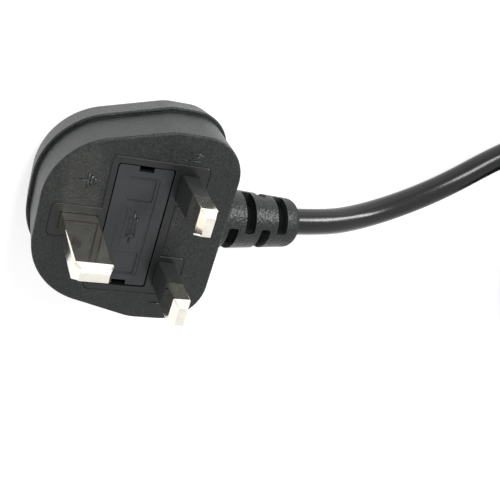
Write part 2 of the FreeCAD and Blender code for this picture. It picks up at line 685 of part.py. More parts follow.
def make_carrier():
    carrier = new_body("carrier")
    door_wide = mm.door_left - mm.door_right
    door_long = 2 * mm.door_half
    pad(carrier, rectangle(mm.fuse_x, 0, door_wide, door_long, mm.door_corner), "door_bottom", "door_thick")
    for side in (-1, 1):
        notch = rectangle(mm.fuse_x, side * mm.door_half, mm.notch_wide, 2 * mm.notch_deep)
        pocket(carrier, notch, "body_depth", "door_thick")
    margin = 2 * mm.channel_inset
    channel = rectangle(mm.fuse_x, 0, door_wide - margin, door_long - margin, mm.recess_corner)
    pocket(carrier, channel, "body_depth", "channel_depth")
    for side in (-1, 1):
        grip = rectangle(mm.fuse_x, side * mm.grip_offset, mm.grip_wide, mm.grip_long, mm.recess_corner)
        pocket(carrier, grip, "body_depth - channel_depth", "grip_depth")
    panel = rectangle(mm.fuse_x, 0, mm.panel_wide, 2 * mm.panel_half, mm.recess_corner)
    pad(carrier, panel, "body_depth - channel_depth", "panel_rise")
    cradle = rectangle(mm.fuse_x, 0, 2 * (mm.fuse_cap_radius + mm.cradle_wall), 2 * mm.cradle_half)
    pad(carrier, cradle, "fuse_level - cradle_wrap", "door_bottom - fuse_level + cradle_wrap")
    seat = cylinder("fuse_seat", "fuse_cap_radius - fuse_cap_wall + fit_gap", "2 * (cradle_half + cut_over)",
                    ALONG_Y, ("fuse_x", "-cradle_half - cut_over", "fuse_level"))
    return keep(cut("carrier_seated", carrier, seat), "fuse_carrier")


def on_fuse_axis(name, radius, length, start):
    return cylinder(name, radius, length, ALONG_Y, ("fuse_x", start, "fuse_level"))


def make_fuse():
    inside = "(fuse_cap_radius - fuse_cap_wall)"
    half = "(fuse_length / 2)"
    barrel_half = "(fuse_length / 2 - fuse_cap_wall)"
    outer = on_fuse_axis("barrel_outside", inside, f"2 * {barrel_half}", f"-{barrel_half}")
    hole = on_fuse_axis("barrel_bore", "fuse_bore_radius", "fuse_length", f"-{half}")
    keep(cut("barrel", outer, hole), "fuse_barrel")
    for label, start, cup in (
        ("fuse_line_cap", f"-{half}", f"-{barrel_half}"),
        ("fuse_supply_cap", f"{half} - fuse_cap_length", f"{half} - fuse_cap_length"),
    ):
        shell = on_fuse_axis(label + "_outside", "fuse_cap_radius", "fuse_cap_length", start)
        hollow = on_fuse_axis(label + "_inside", inside, "fuse_cap_length - fuse_cap_wall", cup)
        keep(cut(label + "_cup", shell, hollow), label)
    keep(on_fuse_axis("wire", "fuse_wire_radius", f"2 * {barrel_half}", f"-{barrel_half}"), "fuse_wire")


# Fuse clips


def make_clip(label, side, extras):
    """U-shaped spring clip round a fuse cap, with the web that goes down through the insert floor."""
    near = "clip_inner" if side > 0 else "-clip_inner - clip_long"
    half = "(fuse_cap_radius + clip_gap)"
    outside = f"fuse_x - {half} - clip_thick"
    base_span = (f"2 * ({half} + clip_thick)", "clip_long", "clip_thick")
    arm_span = ("clip_thick", "clip_long", "clip_arm")
    metal = [
        block(label + "_base", (outside, near, "well_floor"), base_span),
        block(label + "_left_arm", (outside, near, "well_floor"), arm_span),
        block(label + "_right_arm", (f"fuse_x + {half}", near, "well_floor"), arm_span),
    ]
    return keep(fuse(label + "_metal", metal + extras), label)


def make_clips():
    web_x = "fuse_x - strap_wide / 2"
    web_y = "(clip_inner + clip_long / 2)"
    strap_low = "(chamber_top - fit_gap - clip_thick)"
    web = block("line_web", (web_x, f"-{web_y} - clip_thick / 2", strap_low),
                ("strap_wide", "clip_thick", f"well_floor + clip_thick - {strap_low}"))
    strap = block("line_strap", (web_x, "-(pin_pitch + live_pin_wide) / 2", strap_low),
                  ("(strap_wide + live_pin_thick) / 2 - fuse_x", "live_pin_wide", "clip_thick"))
    eye_half = "(strap_wide / 2 - clip_thick + fit_gap)"
    eye_long = "(live_pin_wide / 2 + 2 * fit_gap)"
    eye = block("rivet_eye", (f"-{eye_half}", f"-pin_pitch / 2 - {eye_long} / 2", f"{strap_low} - cut_over"),
                (f"2 * {eye_half}", eye_long, "clip_thick + 2 * cut_over"))
    make_clip("line_fuse_clip", -1, [web, cut("pierced_strap", strap, eye)])

    tongue_start = "(core_bend + crimp_radius / 2)"
    web = block("supply_web", (web_x, f"{web_y} - clip_thick / 2", "tongue_level"),
                ("strap_wide", "clip_thick", "well_floor + clip_thick - tongue_level"))
    tongue = block("supply_tongue", ("fuse_x - tongue_wide / 2", tongue_start, "tongue_level"),
                   ("tongue_wide", f"{web_y} - {tongue_start}", "tongue_thick"))
    make_clip("supply_fuse_clip", 1, [web, tongue])


# Crimps, cores and bared copper ends


def make_crimp(label, base, axis):
    barrel = cylinder(label + "_outside", "crimp_radius", "crimp_long", axis, base)
    hole = cylinder(label + "_inside", "crimp_bore", "crimp_long", axis, base)
    keep(cut(label + "_barrel", barrel, hole), label)


def make_wiring():
    """Cores straight out of the sheath, down to their level, then each to its crimp."""
    side = mm.core_pitch
    supply_end = mm.core_bend + mm.crimp_radius / 2 - mm.core_stop
    neutral_x = -mm.neutral_drop
    neutral_end = mm.pad_inner - mm.core_stop
    earth_end = -mm.pin_pitch + mm.earth_pin_wide / 2 + mm.crimp_long + mm.core_stop
    turn_out = mm.fuse_x + mm.earth_core_end
    turn_in = earth_end + mm.earth_core_end
    routes = (
        ("supply", 0, mm.core_bend, [(mm.fuse_x, 0), (mm.fuse_x, supply_end)]),
        ("neutral", side, mm.core_bend, [(neutral_x, side), (neutral_x, neutral_end)]),
        ("earth", -side, mm.earth_core_bend, [(turn_out, -side), (turn_in, 0), (earth_end, 0)]),
    )
    for name, start, bend, flat in routes:
        level_run = [(mm.core_fall_end, start)] + flat
        straight = (mm.sheath_depth, mm.sheath_depth + mm.core_straight)
        points = [relief_point(-reach, start) for reach in straight]
        points += [Vector(x, y, mm.core_level) for x, y in level_run]
        heading = points[-1] - points[-2]
        heading.normalize()
        bared = points[:-1] + [points[-1] + heading * mm.crimp_long]
        solid = round_cord(name + "_solid", points, mm.core_radius, bend)
        strand = round_cord(name + "_copper", bared, mm.strand_radius, bend)
        keep(strand, name + "_strand")
        keep(cut(name + "_insulation", solid, strand), name + "_core")
    make_crimp("supply_crimp", ("fuse_x", "core_bend + crimp_radius / 2", "crimp_level"), ALONG_Y)
    make_crimp("neutral_crimp", ("-neutral_drop", "pad_inner", "crimp_level"), ALONG_Y)
    make_crimp("earth_crimp", ("-pin_pitch + earth_pin_wide / 2", "0", "crimp_level"), ALONG_X)


# Lead: route points chosen along the visible curve, then on to the coil


def make_lead():
    floor_level = mm.cord_radius
    lead = [
        relief_point(-mm.sheath_depth),
        relief_point(mm.lead_straight),
        (64, 3.9, 7.2),
        (80, 11.5, floor_level),
        (97, 26, floor_level),
        (116, 35.2, floor_level),
        (mm.tail_x + mm.tail_corner, mm.coil_y + mm.tail_radius, floor_level),
    ]
    keep(round_cord("lead", lead, mm.cord_radius), "cord_lead")


def coil_outline(radius):
    """Oval of two runs and two folds."""
    return rectangle(0, 0, mm.coil_run + 2 * radius, 2 * radius, radius)


def make_coil():
    ring = new_body("coil_ring")
    pad(ring, coil_outline(mm.coil_outer), "0", "coil_height")
    pocket(ring, coil_outline(mm.coil_inner), "coil_height", "coil_height")
    for level in (0.0, mm.coil_height):
        dress(ring, "Chamfer", at_level(level), {"Size": "coil_bevel"})
    bind(ring, {"Placement.Base.x": "coil_x", "Placement.Base.y": "coil_y"})
    rim = "(coil_y - coil_outer)"
    wrap = "(tie_slack + tie_thick)"
    notch = block("tie_notch", ("coil_x - tie_wide / 2 - tie_slack", f"{rim} - cut_over", "-cut_over"),
                  ("tie_wide + 2 * tie_slack", "coil_band + 2 * cut_over", f"cut_over + {wrap}"))
    keep(cut("coil_seated", ring, notch), "cord_coil")
    band = block("tie_band", ("coil_x - tie_wide / 2", f"{rim} - {wrap}", "0"),
                 ("tie_wide", f"coil_band + 2 * {wrap}", f"coil_height + {wrap}"))
    hollow = block("tie_hollow", ("coil_x - tie_wide", f"{rim} - tie_slack", "tie_thick"),
                   ("2 * tie_wide", "coil_band + 2 * tie_slack", "coil_height + tie_slack - tie_thick"))
    keep(cut("tie_loop", band, hollow), "coil_tie")


# Appliance connector, lying on the coil


CONNECTOR_ROOT = (
    "tail_x + tail_corner + connector_reach * cos(connector_turn)",
    "coil_y + tail_radius - connector_reach * sin(connector_turn)",
    "connector_level",
)
heading = math.radians(mm.connector_turn)
CONNECTOR_BACK = Vector(-math.cos(heading), math.sin(heading), 0)


def on_coil(item):
    """Place a piece that is drawn about the root of the connector's strain relief, facing -Y."""
    item.Placement = FreeCAD.Placement(Vector(), FreeCAD.Rotation(ALONG_Z, 90 - mm.connector_turn))
    bind(item, {"Placement.Base." + letter: text for letter, text in zip("xyz", CONNECTOR_ROOT)})
    return item


def connector_outline(inset):
    wide = mm.connector_wide / 2 - inset
    tall = mm.connector_tall / 2 - inset
    bevel = mm.connector_bevel - inset * (2 - math.sqrt(2))
    half = [(wide, -tall), (wide, tall - bevel), (wide - bevel, tall)]
    points = half + [(-x, z) for x, z in reversed(half)]
    return [(x, z, mm.connector_corner) for x, z in points]


def contact_places():
    rows = (("line", -1, -1), ("neutral", 1, -1), ("earth", 0, 1))
    return [(name, i * mm.contact_pitch / 2, j * mm.contact_rise / 2) for name, i, j in rows]


def make_connector():
    plane = "XZ_Plane"
    gap = mm.fit_gap
    shell = new_body("connector_shell")
    pad(shell, connector_outline(0.0), "0", "connector_long", plane=plane)
    pocket(shell, connector_outline(mm.connector_wall - gap), "connector_long", "insert_long", plane=plane)
    on_coil(shell)
    relief = cone("connector_cone", "relief_root_radius", "cord_radius + connector_relief_wall",
                  "connector_relief", CONNECTOR_BACK, CONNECTOR_ROOT)
    bore = cylinder("connector_bore", "cord_radius + cord_gap", "connector_relief + cut_over",
                    CONNECTOR_BACK, CONNECTOR_ROOT)
    keep(cut("connector_bored", fuse("connector_solid", [shell, relief]), bore), "connector_body")

    insert = new_body("connector_core")
    pad(insert, connector_outline(mm.connector_wall), "connector_long - insert_long + fit_gap",
        "insert_long - fit_gap", plane=plane)
    for _, x, z in contact_places():
        slot = rectangle(x, z, mm.contact_thick + 2 * gap, mm.contact_wide + 2 * gap)
        pocket(insert, slot, "connector_long", "insert_long - insert_floor", plane=plane)
    keep(on_coil(insert), "connector_insert")
    walls = 2 * mm.contact_wall
    for name, x, z in contact_places():
        contact = new_body(f"contact_{name}")
        pad(contact, rectangle(x, z, mm.contact_thick, mm.contact_wide),
            "connector_long - insert_long + insert_floor + fit_gap",
            "insert_long - insert_floor - fit_gap - contact_inset", plane=plane)
        pocket(contact, rectangle(x, z, mm.contact_thick - walls, mm.contact_wide - walls),
               "connector_long - contact_inset", "insert_long - 2 * insert_floor - contact_inset",
               plane=plane)
        keep(on_coil(contact), f"connector_{name}_contact")


def make_tail():
    """End of the lead: a fold on top of the coil, rising into the connector."""
    on_top = mm.coil_height + mm.cord_radius + mm.fit_gap
    level = mm.connector_level
    half_step = math.radians(mm.tail_half_step)
    corner = mm.tail_radius / math.cos(half_step)
    lead_in = mm.tail_radius * math.tan(half_step)
    last_corner = Vector(mm.tail_x + mm.tail_corner, mm.coil_y + mm.tail_radius, level)
    tail = [(mm.tail_x + lead_in, mm.coil_y - mm.tail_radius, on_top)]
    for steps, height in ((8, on_top), (6, on_top), (4, on_top + mm.tail_rise)):
        angle = steps * half_step
        tail.append((mm.tail_x + corner * math.cos(angle), mm.coil_y + corner * math.sin(angle), height))
    tail += [last_corner, last_corner - CONNECTOR_BACK * (mm.connector_reach - mm.tail_stop)]
    keep(round_cord("tail", tail, mm.cord_radius), "cord_tail")


make_moulded_body()
make_bridge()
make_cap()
make_pins()
make_sleeve("line_pin_sleeve", -mm.live_y)
make_sleeve("neutral_pin_sleeve", mm.live_y)
make_carrier()
make_fuse()
make_clips()
make_wiring()
make_lead()
make_coil()
make_connector()
make_tail()
doc.recompute()

for item in doc.Objects:
    if "Invalid" in item.State or "Error" in item.State:
        raise RuntimeError(f"{item.Label} failed: {item.State}")

os.makedirs("parts", exist_ok=True)
for item in pieces:
    if item.Shape.isNull() or not item.Shape.isValid() or not item.Shape.Solids:
        raise RuntimeError(f"{item.Label} has no valid solid")
for item in pieces:
    item.Shape.exportStep(f"parts/{item.Label}.step")
print(len(pieces), "pieces")
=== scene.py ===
import math

import bmesh
import bpy
from mathutils import Matrix, Vector


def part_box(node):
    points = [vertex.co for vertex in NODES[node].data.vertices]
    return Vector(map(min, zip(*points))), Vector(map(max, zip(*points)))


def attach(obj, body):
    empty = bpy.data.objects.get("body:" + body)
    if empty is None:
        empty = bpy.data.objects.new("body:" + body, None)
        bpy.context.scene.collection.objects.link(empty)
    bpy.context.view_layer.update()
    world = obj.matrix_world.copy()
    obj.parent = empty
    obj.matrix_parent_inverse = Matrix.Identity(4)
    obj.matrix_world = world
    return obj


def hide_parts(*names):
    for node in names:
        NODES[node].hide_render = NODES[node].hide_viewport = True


bl_info = {
    "name": "Three-pin plug",
    "version": (1, 0, 0),
    "blender": (4, 5, 0),
    "location": "3D View > Sidebar > Plug",
    "description": "Dresses the packed three-pin plug and its lead, and sets the stage for its picture",
    "category": "Object",
}

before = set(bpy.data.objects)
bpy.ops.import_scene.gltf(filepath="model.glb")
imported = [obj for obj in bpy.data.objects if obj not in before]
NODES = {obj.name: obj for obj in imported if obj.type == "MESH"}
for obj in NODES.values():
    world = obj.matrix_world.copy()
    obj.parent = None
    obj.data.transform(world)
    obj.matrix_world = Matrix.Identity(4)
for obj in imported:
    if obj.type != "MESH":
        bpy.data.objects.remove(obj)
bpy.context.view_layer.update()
MM = 0.001
PLUG = "plug"
HOLDER = "fuse_holder"

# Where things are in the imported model, in metres
FACE_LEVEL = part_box("moulded_body")[1].z
CARRIER_LOW, CARRIER_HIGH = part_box("fuse_carrier")
PANEL_SINK = 0.13 * MM  # middle panel of the carrier, below its rim
RELIEF_DROOP = math.radians(5.5)
RELIEF_ROOT = Vector((11.8, 0.0, 14.95)) * MM  # on the strain relief's axis, at the body's cord end
RELIEF_LINE = Vector((math.cos(RELIEF_DROOP), 0.0, -math.sin(RELIEF_DROOP)))
SLOT_MOUTH = 6.4 * MM  # from that axis, where the flex slots begin to be dull and darkened by painted shade
SLOT_FLOOR = 5.4 * MM  # from that axis, where they are fully dull and fully darkened by painted shade


def linear(hex_colour):
    """Linear RGBA of an sRGB hex colour."""
    channels = [int(hex_colour[i:i + 2], 16) / 255 for i in (1, 3, 5)]
    return [c / 12.92 if c <= 0.04045 else ((c + 0.055) / 1.055) ** 2.4 for c in channels] + [1.0]


def colour_setting(label, note, default):
    return bpy.props.FloatVectorProperty(
        name=label, description=note, subtype="COLOR", size=4, min=0.0, max=1.0, default=linear(default)
    )


def length_setting(label, note, default):
    return bpy.props.FloatProperty(
        name=label, description=note, subtype="DISTANCE", unit="LENGTH", precision=5, default=default
    )


def power_setting(label, note, default):
    return bpy.props.FloatProperty(
        name=label, description=note, subtype="POWER", unit="POWER", default=default
    )


class PlugLeadSettings(bpy.types.PropertyGroup):
    radius: length_setting("Lead radius", "Half of the lead's diameter", 3.4 * MM)
    length: length_setting("Lead length", "From the strain relief to the connector", 1.8)
    coil_run: length_setting("Coil run", "Straight runs of the coil's turns", 56 * MM)
    fold_radius: length_setting("Fold radius", "Bend of the coil's inner turns", 20.6 * MM)
    turns: bpy.props.IntProperty(name="Turns", description="Turns of the coil", min=1, default=6)


class PlugFinishSettings(bpy.types.PropertyGroup):
    body_colour: colour_setting("Body", "Black PVC of the moulded body", "#141817")
    insert_colour: colour_setting("Insert", "Black nylon of the face insert", "#1a1c1b")
    carrier_colour: colour_setting("Fuse carrier", "Black nylon of the fuse carrier", "#2a2d2f")
    sleeve_colour: colour_setting("Pin sleeves", "Black nylon of the pin sleeves", "#2d302f")
    lead_colour: colour_setting("Lead", "Black PVC of the lead", "#0e0f0f")
    pin_colour: colour_setting("Pins", "Nickel plating of the pins", "#f4f0e5")
    grain: length_setting("Mould grain", "Grit of the spark-eroded mould surface", 0.45 * MM)
    relief_grain: length_setting("Relief grain", "Coarser grit on the strain relief", 0.75 * MM)
    pin_edge: length_setting("Pin edge", "Round that tumbling leaves on the pins' edges", 0.35 * MM)
    insert_edge: length_setting("Insert edge", "Round of the insert's and carrier's edges", 0.15 * MM)
    connector_edge: length_setting("Connector edge", "Round of the connector's moulded edges", 0.5 * MM)
    mark_rise: length_setting("Mark rise", "Height of the raised marks on the face", 0.25 * MM)


class PlugStageSettings(bpy.types.PropertyGroup):
    key_power: power_setting("Key light", "Softbox beyond the cord exit", 1.9)
    fill_power: power_setting("Fill light", "Softbox high on the neutral pin's side", 1.2)
    sky: bpy.props.FloatProperty(name="Sky", description="Strength of the white surround", default=0.55)
    floor_colour: colour_setting("Floor", "Plain pale table", "#d8d8d8")


# Materials


NOISE_LOW = 0.3  # most of a noise texture lies between these two
NOISE_HIGH = 0.7
EDGE_SAMPLES = 8  # rays that find the neighbouring faces of a rounded edge
PVC_FLOW = 9 * MM  # clouds that the PVC leaves where it flowed through the mould
PVC_GRAIN_DEPTH = 0.2 * MM
RELIEF_GRAIN_SHARE = 0.54  # depth of the strain relief's grain, as a share of that
RELIEF_FADE = 0.4 * MM  # half of the way from the face's grain to the strain relief's
SLOT_PAINTED_SHADE = 0.2  # painted shade: colour of the flex slots, as a share of the body's
NYLON_FLOW = 6 * MM
NYLON_GRAIN_DEPTH = 0.03 * MM
NYLON_GLOSS_SPREAD = 0.06  # of the roughness, either way
DRAW_LINE_SHAPE = (1.0, 1.0, 0.04)  # a draw line is 25 times as long as it is wide
DRAW_LINE_DEPTH = 0.006 * MM
PLATING_CLOUD = 2.5 * MM
WAVE_LENGTH = 3 * MM
WAVE_DEPTH = 0.02 * MM
DUST_SIZE = 0.5 * MM
STRIPE_PITCH = 2.4 * MM  # one green and one yellow stripe of the earth core
MIX_COLOUR_A, MIX_COLOUR_B, MIX_COLOUR_OUT = 6, 7, 2  # the colour sockets of a Mix node


def add_node(tree, kind, links=None, inputs=None, **settings):
    """Add a node with its settings, constant inputs and links, the last given as input: socket."""
    node = tree.nodes.new(kind)
    for name, value in settings.items():
        setattr(node, name, value)
    for name, value in (inputs or {}).items():
        node.inputs[name].default_value = value
    for name, socket in (links or {}).items():
        tree.links.new(socket, node.inputs[name])
    return node


def new_material(name, **constants):
    """Material with one Principled shader whose constant sockets are set here."""
    material = bpy.data.materials.new(name)
    material.use_nodes = True
    tree = material.node_tree
    shader = tree.nodes["Principled BSDF"]
    for socket, value in constants.items():
        shader.inputs[socket.replace("_", " ")].default_value = value
    return material, tree, shader


def dress(material, *names):
    """Give CAD nodes a finish."""
    for name in names:
        slots = NODES[name].data.materials
        slots.clear()
        slots.append(material)


def moulded_pvc(name, colour, grain, edge, relief_grain=None):
    """PVC moulded in a spark-eroded tool: satin with soft edges, its pebbled grain sparkling in the light.

    The grain is drawn coarser than the real 0.1 mm so that it shows in the picture. The pits between the
    pebbles are painted darker than their tops as painted shade, and the tops lighter as painted sparkle;
    the flex slots, which lie in shade, are dull and their colour is darkened as painted shade.
    """
    material, tree, shader = new_material(name, IOR=1.46)
    place = add_node(tree, "ShaderNodeTexCoord").outputs["Object"]
    pebbles = add_node(tree, "ShaderNodeTexNoise", {"Vector": place},
                       {"Scale": 1 / grain, "Detail": 2.0, "Roughness": 0.6}).outputs["Fac"]
    gloss = add_node(tree, "ShaderNodeMapRange", {"Value": pebbles},
                     {"From Min": NOISE_LOW, "From Max": NOISE_HIGH, "To Min": 0.3, "To Max": 0.46}
                     ).outputs["Result"]
    flow = add_node(tree, "ShaderNodeTexNoise", {"Vector": place}, {"Scale": 1 / PVC_FLOW, "Detail": 3.0})
    shade = add_node(tree, "ShaderNodeMapRange", {"Value": flow.outputs["Fac"]},
                     {"From Min": NOISE_LOW, "From Max": NOISE_HIGH, "To Min": 0.8, "To Max": 1.25}
                     ).outputs["Result"]
    # Painted shade and sparkle: the pits between the pebbles are painted darker and the pebble tops lighter
    painted_pit_shade_and_sparkle = add_node(tree, "ShaderNodeMapRange", {"Value": pebbles},
                       {"From Min": 0.38, "From Max": 0.64, "To Min": 0.1, "To Max": 2.3})
    shade = add_node(tree, "ShaderNodeMath", {0: shade, 1: painted_pit_shade_and_sparkle.outputs["Result"]},
                     operation="MULTIPLY").outputs["Value"]
    height = pebbles
    if relief_grain:
        coarse = add_node(tree, "ShaderNodeTexVoronoi", {"Vector": place}, {"Scale": 1 / relief_grain})
        from_root = add_node(tree, "ShaderNodeVectorMath", {0: place}, {1: RELIEF_ROOT},
                             operation="SUBTRACT").outputs["Vector"]
        along = add_node(tree, "ShaderNodeVectorMath", {0: from_root}, {1: RELIEF_LINE},
                         operation="DOT_PRODUCT").outputs["Value"]
        past_end = add_node(tree, "ShaderNodeMapRange", {"Value": along},
                            {"From Min": -RELIEF_FADE, "From Max": RELIEF_FADE}).outputs["Result"]
        coarse_height = add_node(tree, "ShaderNodeMath", {0: coarse.outputs["Distance"]},
                                 {1: RELIEF_GRAIN_SHARE}, operation="MULTIPLY").outputs["Value"]
        height = add_node(tree, "ShaderNodeMix", {"Factor": past_end, "A": pebbles, "B": coarse_height}
                          ).outputs["Result"]
        aside = add_node(tree, "ShaderNodeVectorMath", {0: from_root}, {1: RELIEF_LINE},
                         operation="CROSS_PRODUCT").outputs["Vector"]
        off_axis = add_node(tree, "ShaderNodeVectorMath", {0: aside}, operation="LENGTH").outputs["Value"]
        sunk = add_node(tree, "ShaderNodeMapRange", {"Value": off_axis},
                        {"From Min": SLOT_MOUTH, "From Max": SLOT_FLOOR}).outputs["Result"]
        in_slot = add_node(tree, "ShaderNodeMath", {0: past_end, 1: sunk},
                           operation="MULTIPLY").outputs["Value"]
        # The flex slots are dull, and their colour is darkened as painted shade
        gloss = add_node(tree, "ShaderNodeMix", {"Factor": in_slot, "A": gloss}, {"B": 1.0}
                         ).outputs["Result"]
        shade = add_node(tree, "ShaderNodeMix", {"Factor": in_slot, "A": shade}, {"B": SLOT_PAINTED_SHADE}
                         ).outputs["Result"]
    rounded = add_node(tree, "ShaderNodeBevel", inputs={"Radius": edge},
                       samples=EDGE_SAMPLES).outputs["Normal"]
    bump = add_node(tree, "ShaderNodeBump", {"Height": height, "Normal": rounded},
                    {"Strength": 1.0, "Distance": PVC_GRAIN_DEPTH})
    tree.links.new(bump.outputs["Normal"], shader.inputs["Normal"])
    tint = add_node(tree, "ShaderNodeVectorMath", {1: shade}, {0: colour[:3]}, operation="MULTIPLY")
    tree.links.new(tint.outputs["Vector"], shader.inputs["Base Color"])
    tree.links.new(gloss, shader.inputs["Roughness"])
    return material


def moulded_nylon(name, colour, grain, rough, edge):
    """Glass-filled nylon from a lightly textured tool: smoother than the PVC, with faint flow clouds.

    Its slightly rounded edges catch a thin light, and glazed ceramic shows the same clouds. The grain is
    drawn as coarse as the PVC's so that it shows.
    """
    material, tree, shader = new_material(name, IOR=1.46)
    place = add_node(tree, "ShaderNodeTexCoord").outputs["Object"]
    pebbles = add_node(tree, "ShaderNodeTexNoise", {"Vector": place},
                       {"Scale": 1 / grain, "Detail": 2.0, "Roughness": 0.55})
    rounded = add_node(tree, "ShaderNodeBevel", inputs={"Radius": edge},
                       samples=EDGE_SAMPLES).outputs["Normal"]
    bump = add_node(tree, "ShaderNodeBump", {"Height": pebbles.outputs["Fac"], "Normal": rounded},
                    {"Strength": 0.8, "Distance": NYLON_GRAIN_DEPTH})
    tree.links.new(bump.outputs["Normal"], shader.inputs["Normal"])
    flow = add_node(tree, "ShaderNodeTexNoise", {"Vector": place}, {"Scale": 1 / NYLON_FLOW, "Detail": 4.0})
    shade = add_node(tree, "ShaderNodeMapRange", {"Value": flow.outputs["Fac"]},
                     {"From Min": NOISE_LOW, "From Max": NOISE_HIGH, "To Min": 0.8, "To Max": 1.25})
    tint = add_node(tree, "ShaderNodeVectorMath", {1: shade.outputs["Result"]}, {0: colour[:3]},
                    operation="MULTIPLY")
    tree.links.new(tint.outputs["Vector"], shader.inputs["Base Color"])
    gloss = add_node(tree, "ShaderNodeMapRange", {"Value": flow.outputs["Fac"]},
                     {"From Min": NOISE_LOW, "From Max": NOISE_HIGH,
                      "To Min": rough - NYLON_GLOSS_SPREAD, "To Max": rough + NYLON_GLOSS_SPREAD})
    tree.links.new(gloss.outputs["Result"], shader.inputs["Roughness"])
    return material


def plated_metal(name, colour, rough, line_spacing, edge):
    """Drawn metal, plated or bare: bright and slightly cloudy, with fine draw lines and tumbled edges.

    The draw lines are spaced wider than real ones so that they show.
    """
    material, tree, shader = new_material(name, Metallic=1.0)
    place = add_node(tree, "ShaderNodeTexCoord").outputs["Object"]
    along = add_node(tree, "ShaderNodeMapping", {"Vector": place}, {"Scale": DRAW_LINE_SHAPE})
    lines = add_node(tree, "ShaderNodeTexNoise", {"Vector": along.outputs["Vector"]},
                     {"Scale": 1 / line_spacing, "Detail": 3.0, "Roughness": 0.6})
    rounded = add_node(tree, "ShaderNodeBevel", inputs={"Radius": edge},
                       samples=EDGE_SAMPLES).outputs["Normal"]
    bump = add_node(tree, "ShaderNodeBump", {"Height": lines.outputs["Fac"], "Normal": rounded},
                    {"Strength": 0.5, "Distance": DRAW_LINE_DEPTH})
    tree.links.new(bump.outputs["Normal"], shader.inputs["Normal"])
    cloud = add_node(tree, "ShaderNodeTexNoise", {"Vector": place},
                     {"Scale": 1 / PLATING_CLOUD, "Detail": 4.0})
    shade = add_node(tree, "ShaderNodeMapRange", {"Value": cloud.outputs["Fac"]},
                     {"From Min": NOISE_LOW, "From Max": NOISE_HIGH, "To Min": 0.9, "To Max": 1.05})
    tint = add_node(tree, "ShaderNodeVectorMath", {1: shade.outputs["Result"]}, {0: colour[:3]},
                    operation="MULTIPLY")
    tree.links.new(tint.outputs["Vector"], shader.inputs["Base Color"])
    gloss = add_node(tree, "ShaderNodeMapRange", {"Value": cloud.outputs["Fac"]},
                     {"From Min": NOISE_LOW, "From Max": NOISE_HIGH,
                      "To Min": rough * 0.75, "To Max": rough * 1.35})
    tree.links.new(gloss.outputs["Result"], shader.inputs["Roughness"])
    return material


def extruded_pvc(name, colour, rough=0.2, stripe=None):
    """PVC straight from the extruder: glossy, with faint waves, a little dust and maybe a striped colour.

    The dust is drawn coarser than real so that it shows.
    """
    material, tree, shader = new_material(name, IOR=1.44)
    place = add_node(tree, "ShaderNodeTexCoord").outputs["Object"]
    waves = add_node(tree, "ShaderNodeTexNoise", {"Vector": place},
                     {"Scale": 1 / WAVE_LENGTH, "Detail": 2.0})
    bump = add_node(tree, "ShaderNodeBump", {"Height": waves.outputs["Fac"]},
                    {"Strength": 0.25, "Distance": WAVE_DEPTH})
    tree.links.new(bump.outputs["Normal"], shader.inputs["Normal"])
    shade = add_node(tree, "ShaderNodeMapRange", {"Value": waves.outputs["Fac"]},
                     {"From Min": NOISE_LOW, "From Max": NOISE_HIGH, "To Min": 0.85, "To Max": 1.2})
    tint = add_node(tree, "ShaderNodeVectorMath", {1: shade.outputs["Result"]}, {0: colour[:3]},
                    operation="MULTIPLY")
    base = tint.outputs["Vector"]
    if stripe:
        # A wave texture repeats every pi / (10 * Scale)
        bands = add_node(tree, "ShaderNodeTexWave", {"Vector": place},
                         {"Scale": math.pi / (10 * STRIPE_PITCH)}, bands_direction="Y")
        edge = add_node(tree, "ShaderNodeMapRange", {"Value": bands.outputs["Fac"]},
                        {"From Min": 0.45, "From Max": 0.55})
        base = add_node(tree, "ShaderNodeMix", {"Factor": edge.outputs["Result"], MIX_COLOUR_A: base},
                        {MIX_COLOUR_B: stripe}, data_type="RGBA").outputs[MIX_COLOUR_OUT]
    tree.links.new(base, shader.inputs["Base Color"])
    dust = add_node(tree, "ShaderNodeTexNoise", {"Vector": place}, {"Scale": 1 / DUST_SIZE, "Detail": 3.0})
    gloss = add_node(tree, "ShaderNodeMapRange", {"Value": dust.outputs["Fac"]},
                     {"From Min": 0.35, "From Max": 0.75, "To Min": rough * 0.85, "To Max": rough * 1.4})
    tree.links.new(gloss.outputs["Result"], shader.inputs["Roughness"])
    return material


# Lead


# Places on the lead's route in millimetres: along the strain relief's axis, then as points
RELIEF_REACHES = (-1.8, 29.5)
SEEN_CURVE = ((59.8, 1.7, 6.1), (80, 10.9, 3.4), (97, 25.4, 3.4), (116, 36.4, 3.4))
TO_CONNECTOR = ((157.5, 36.5, 30.45), (180.44, 20.44, 30.45))
LAST_LIFT = 1.5 * MM  # rise of the last turn towards the connector

COIL_CENTRE = Vector((171.5, 9.0, 0.0)) * MM
TURN_GAP = 0.1 * MM  # between turns side by side
FOLD_CORNERS = 6  # control points of a fold
HALF_CORNER = math.pi / FOLD_CORNERS / 2  # half of the angle from one of them to the next
RUN_SHARE = 0.204  # of a turn, taken by one straight run
RUN_SPREAD = 0.07  # of a turn, from the middle of a run to its control points
FOLD_SHARE = 0.296  # of a turn, taken by one fold
FIRST_STEP = 0.8  # turns before the first step to the next place
STEP_EVERY = 0.93  # turns from step to step
STEP_COUNT = 6  # after the last of these, one more follows at once
STEP_LENGTH = 0.16  # of a turn, taken by one step


def turn_stations(run):
    """Control points of one oval turn, clockwise from the start of its far run.

    Each is a share of the turn, a point on the line between the folds, and the way outwards from it.
    """
    stations = []
    for half, side in enumerate((1, -1)):
        for end in (-1, 1):
            slope = side * end * math.tan(HALF_CORNER)
            share = half / 2 + RUN_SHARE / 2 + RUN_SPREAD * end
            stations.append((share, side * end * run / 2, Vector((-slope, side))))
        for corner in range(FOLD_CORNERS):
            angle = math.pi / 2 - HALF_CORNER * (2 * corner + 1) + math.pi * half
            outward = Vector((math.cos(angle), math.sin(angle))) / math.cos(HALF_CORNER)
            share = half / 2 + RUN_SHARE + FOLD_SHARE * (corner + 0.5) / FOLD_CORNERS
            stations.append((share, side * run / 2, outward))
    return stations


